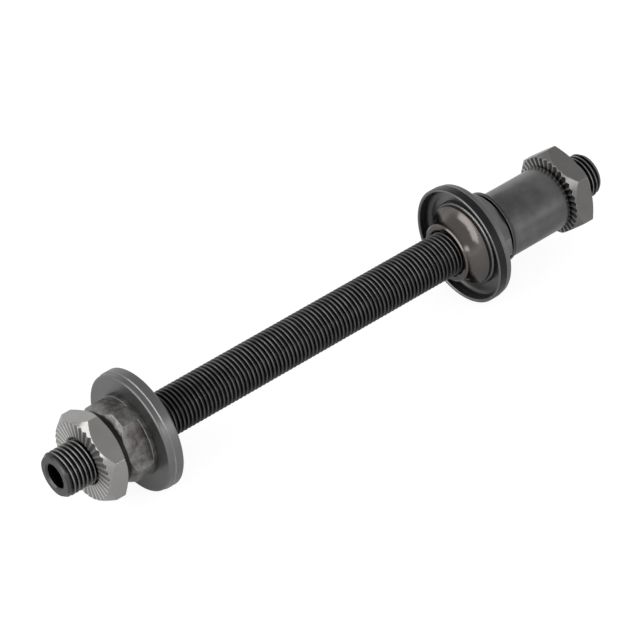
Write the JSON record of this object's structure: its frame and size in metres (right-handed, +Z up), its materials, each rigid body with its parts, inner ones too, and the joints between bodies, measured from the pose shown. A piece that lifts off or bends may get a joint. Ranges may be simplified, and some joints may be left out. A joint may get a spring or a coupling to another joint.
{
  "type": "bicycle rear axle",
  "caption": "Hollow threaded rear hub axle with bearing cones, pressed dust caps, washers, serrated lock nuts and a drive-side spacer, for a quick release skewer.",
  "frame": {"origin": "middle of the axle's length, on its axis", "axes": "+Y along the axle towards the bicycle's left (non-drive) side, +X forward, +Z up"},
  "size_m": [0.026, 0.141, 0.0258],
  "materials": {
    "black_thread": "black oxide, satin",
    "cone_steel": "hardened, ground race and forged wrench end",
    "cap_steel": "pressed, satin",
    "black_washer": "black oxide",
    "washer_steel": "satin",
    "spacer_steel": "dark, smooth",
    "plated_nut": "plated, satin",
    "dark_nut": "plated, dull"
  },
  "bodies": {
    "axle_set": {"axle": "black_thread", "left_cone": "cone_steel", "left_dust_cap": "cap_steel", "right_cone": "cone_steel", "right_dust_cap": "cap_steel", "right_washer": "washer_steel"},
    "left_washer": {"left_washer": "black_washer"},
    "left_nut": {"left_lock_nut": "plated_nut"},
    "right_spacer": {"right_spacer": "spacer_steel"},
    "right_nut": {"right_lock_nut": "dark_nut"}
  },
  "joints": [
    {"name": "left_nut_travel", "type": "slide", "parent": "axle_set", "child": "left_washer", "axis": [0, 1, 0], "range_m": [0, 0.00601]},
    {"name": "left_nut_turn", "type": "hinge", "parent": "left_washer", "child": "left_nut", "pos_m": [0, 0.0613, 0], "axis": [0, 1, 0], "range_deg": [0, 2160]},
    {"name": "right_nut_travel", "type": "slide", "parent": "axle_set", "child": "right_spacer", "axis": [0, -1, 0], "range_m": [0, 0.00601]},
    {"name": "right_nut_turn", "type": "hinge", "parent": "right_spacer", "child": "right_nut", "pos_m": [0, -0.0618, 0], "axis": [0, -1, 0], "range_deg": [0, 2160]}
  ],
  "couplings": [
    {"joint": "left_nut_travel", "follows": "left_nut_turn", "m_per_rad": 0.00015915},
    {"joint": "right_nut_travel", "follows": "right_nut_turn", "m_per_rad": 0.00015915}
  ]
}
